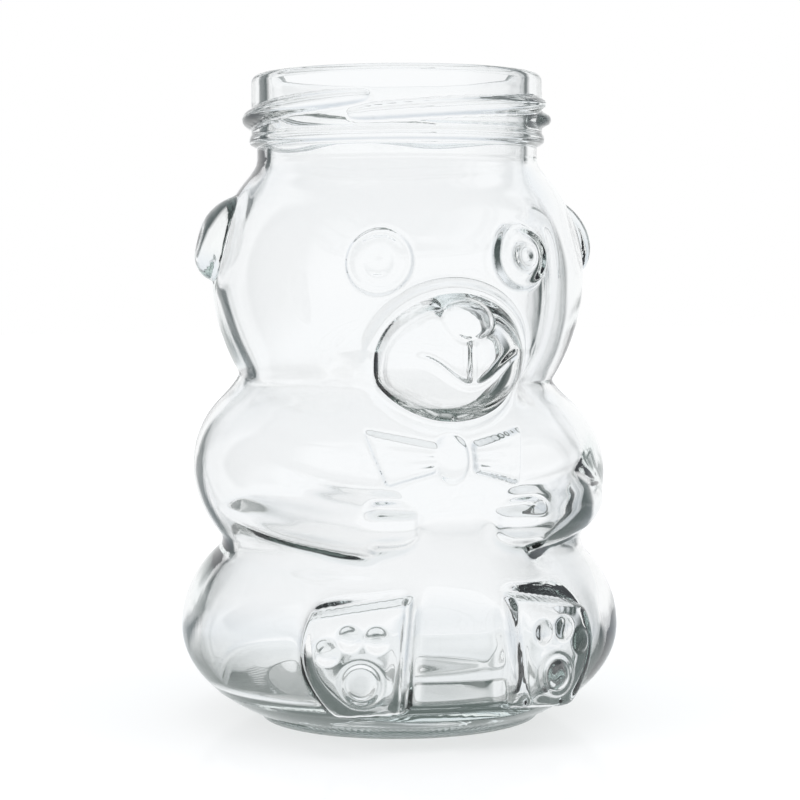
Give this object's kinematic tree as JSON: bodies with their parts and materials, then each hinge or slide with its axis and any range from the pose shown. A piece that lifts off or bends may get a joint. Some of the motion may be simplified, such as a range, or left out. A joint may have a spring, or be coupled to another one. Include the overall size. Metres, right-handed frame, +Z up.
{
  "type": "honey bear bottle",
  "caption": "clear glass honey jar in the round shape of a sitting bear, with a hollow muzzle, a bow tie, raised arms and feet, and a wide open twist-off mouth",
  "frame": {"origin": "the middle of the ring that the jar stands on, on the axis of the mouth, at the level of the surface under the jar", "axes": "+Z is up along the axis of the mouth; the bear looks along -Y; +X is the bear's own left side"},
  "size_m": [0.0744, 0.0803, 0.1086],
  "materials": {
    "clear_glass": "polished soda-lime glass, clear",
    "thick_glass": "polished soda-lime glass, green where it is thick",
    "raised_glass": "polished soda-lime glass, clear",
    "line_glass": "polished soda-lime glass, clear, in relief"
  },
  "bodies": {
    "root": {"finish": "clear_glass", "thread_lugs": "clear_glass", "head_shell": "clear_glass", "torso_shell": "clear_glass", "lap_shell": "clear_glass", "base": "thick_glass", "belly": "raised_glass", "face": "raised_glass", "left_ear": "raised_glass", "right_ear": "raised_glass", "left_eye": "line_glass", "right_eye": "line_glass", "muzzle": "raised_glass", "nose": "line_glass", "mouth": "line_glass", "bow_tie": "line_glass", "left_arm": "raised_glass", "right_arm": "raised_glass", "left_foot": "raised_glass", "right_foot": "raised_glass", "left_paw_pads": "line_glass", "right_paw_pads": "line_glass"}
  },
  "joints": []
}
